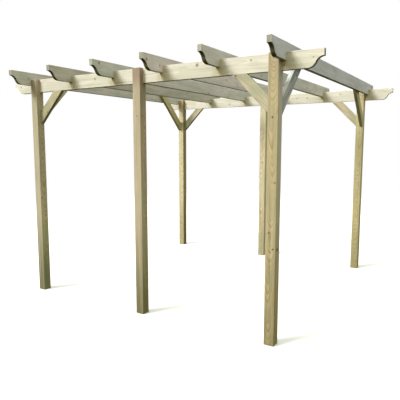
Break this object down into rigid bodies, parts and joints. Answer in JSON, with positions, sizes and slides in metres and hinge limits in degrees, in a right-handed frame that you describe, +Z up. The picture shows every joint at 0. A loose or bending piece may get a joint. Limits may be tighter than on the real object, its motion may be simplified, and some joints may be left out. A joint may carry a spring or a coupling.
{
  "type": "wooden pergola",
  "caption": "Open timber pergola: notched square posts in two rows carry plank beams and scroll-ended rafters halved over them, with knee braces at the corners.",
  "frame": {"origin": "centre of the footprint, on the ground", "axes": "+X along the beams to the right, +Y from the front row of posts to the rear row, +Z up"},
  "size_m": [3.63, 3.47, 2.476],
  "materials": {
    "post_timber": "planed, pressure treated softwood",
    "beam_timber": "planed, pressure treated softwood",
    "rafter_timber": "planed, pressure treated softwood",
    "brace_timber": "planed, pressure treated softwood"
  },
  "bodies": {
    "root": {"post_front_left": "post_timber", "post_front_middle": "post_timber", "post_front_right": "post_timber", "post_rear_left": "post_timber", "post_rear_middle": "post_timber", "post_rear_right": "post_timber", "beam_front": "beam_timber", "beam_rear": "beam_timber", "rafter_1": "rafter_timber", "rafter_2": "rafter_timber", "rafter_3": "rafter_timber", "rafter_4": "rafter_timber", "rafter_5": "rafter_timber", "rafter_6": "rafter_timber", "beam_brace_front_left": "brace_timber", "beam_brace_front_right": "brace_timber", "beam_brace_rear_left": "brace_timber", "beam_brace_rear_right": "brace_timber", "rafter_brace_front_left": "brace_timber", "rafter_brace_front_right": "brace_timber", "rafter_brace_rear_left": "brace_timber", "rafter_brace_rear_right": "brace_timber"}
  },
  "joints": []
}
